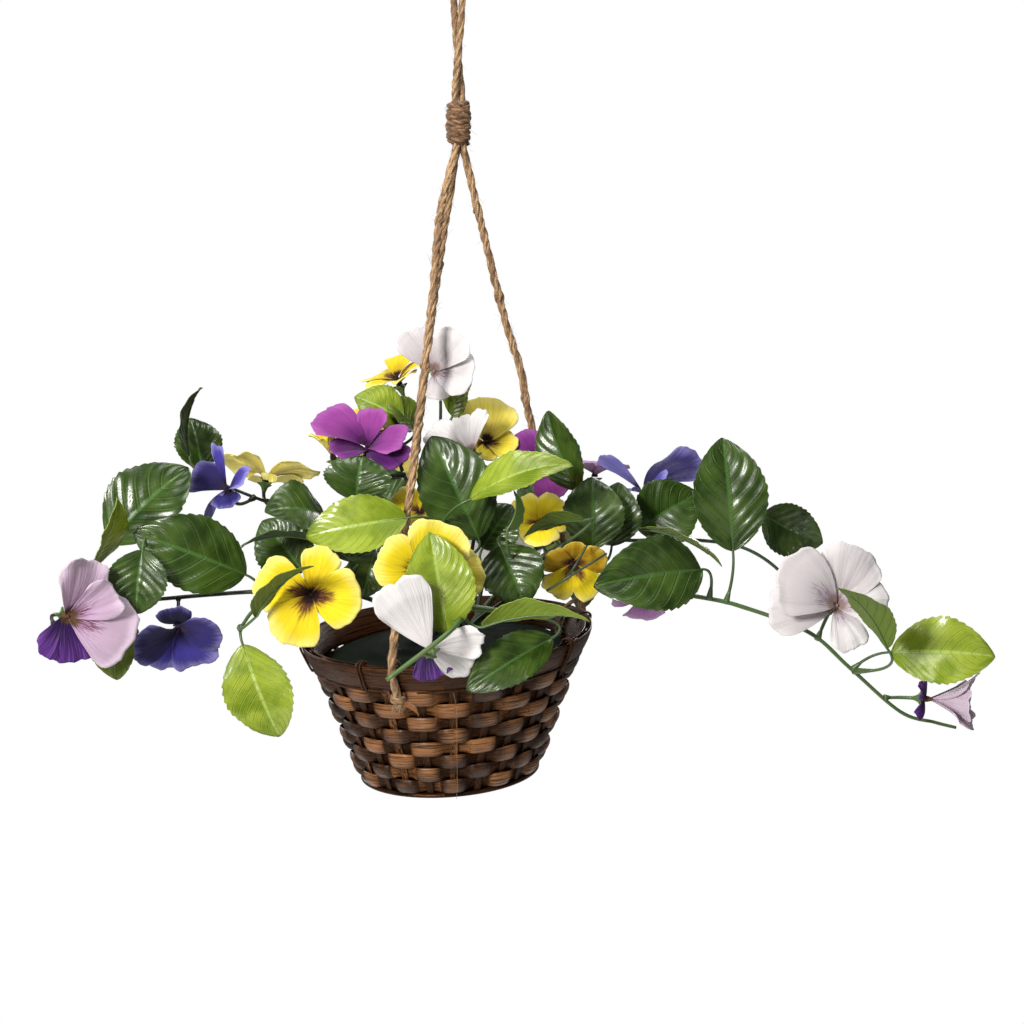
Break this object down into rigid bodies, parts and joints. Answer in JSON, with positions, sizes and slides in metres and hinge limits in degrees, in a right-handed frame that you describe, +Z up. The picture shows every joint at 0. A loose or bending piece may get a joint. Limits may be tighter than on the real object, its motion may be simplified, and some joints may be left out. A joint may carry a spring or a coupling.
{
  "type": "hanging basket with trailing pansies",
  "caption": "Woven chip basket on jute ropes with a hanging loop, filled with foam that holds trailing artificial pansies and serrated leaves.",
  "frame": {"origin": "inner top of the hanging loop, where a hook carries it", "axes": "+Z up, +X to the right as seen from the front, +Y away from the viewer"},
  "size_m": [0.6896, 0.4136, 0.6547],
  "materials": {
    "chip": "dark stained, glossy varnish",
    "cane": "dark stained cane",
    "foam": "dark green dry foam",
    "jute": "rough natural jute",
    "leaf": "glossy moulded leaf, dark and lime green",
    "yellow_petal": "printed polyester",
    "white_petal": "printed polyester",
    "magenta_petal": "printed polyester",
    "blue_petal": "printed polyester",
    "lilac_petal": "printed polyester",
    "mauve_petal": "printed polyester"
  },
  "bodies": {
    "root": {"basket_frame": "chip", "weaver_1": "chip", "weaver_2": "chip", "weaver_3": "chip", "weaver_4": "chip", "weaver_5": "chip", "weaver_6": "chip", "weaver_7": "chip", "weaver_8": "chip", "rim_outer": "chip", "rim_inner": "chip", "lashing_left": "cane", "lashing_back": "cane", "lashing_right": "cane", "foam": "foam", "rope_leg_front": "jute", "rope_leg_right": "jute", "rope_leg_back": "jute", "rope_whipping": "jute", "hanging_loop": "jute", "stem_right_long": "leaf", "stem_right_back": "leaf", "stem_left_low": "leaf", "stem_left_upper": "leaf", "stem_left_front": "leaf", "stem_left_middle": "leaf", "stem_top_left": "leaf", "stem_top": "leaf", "stem_centre_back": "leaf", "stem_front_centre": "leaf", "stem_front_hang": "leaf", "stem_front_right": "leaf", "stem_back_left": "leaf", "stem_back_right": "leaf", "bloom_far_left": "lilac_petal", "bloom_left_blue": "blue_petal", "bloom_upper_blue": "blue_petal", "bloom_upper_yellow": "yellow_petal", "bloom_left_yellow": "yellow_petal", "bloom_magenta": "magenta_petal", "bloom_top_yellow": "yellow_petal", "bloom_top_white": "white_petal", "bloom_middle_white": "white_petal", "bloom_middle_yellow": "yellow_petal", "bloom_middle_purple": "magenta_petal", "bloom_centre_yellow": "yellow_petal", "bloom_behind_yellow": "yellow_petal", "bloom_front_white": "white_petal", "bloom_right_pale": "yellow_petal", "bloom_right_brown": "yellow_petal", "bloom_back_mauve": "mauve_petal", "bloom_right_blue": "blue_petal", "bloom_under_mauve": "mauve_petal", "bud_yellow": "yellow_petal", "bloom_right_white": "white_petal", "bloom_far_right": "lilac_petal", "bloom_behind_magenta": "yellow_petal", "bloom_back_yellow": "yellow_petal", "bloom_back_white": "white_petal"}
  },
  "joints": []
}
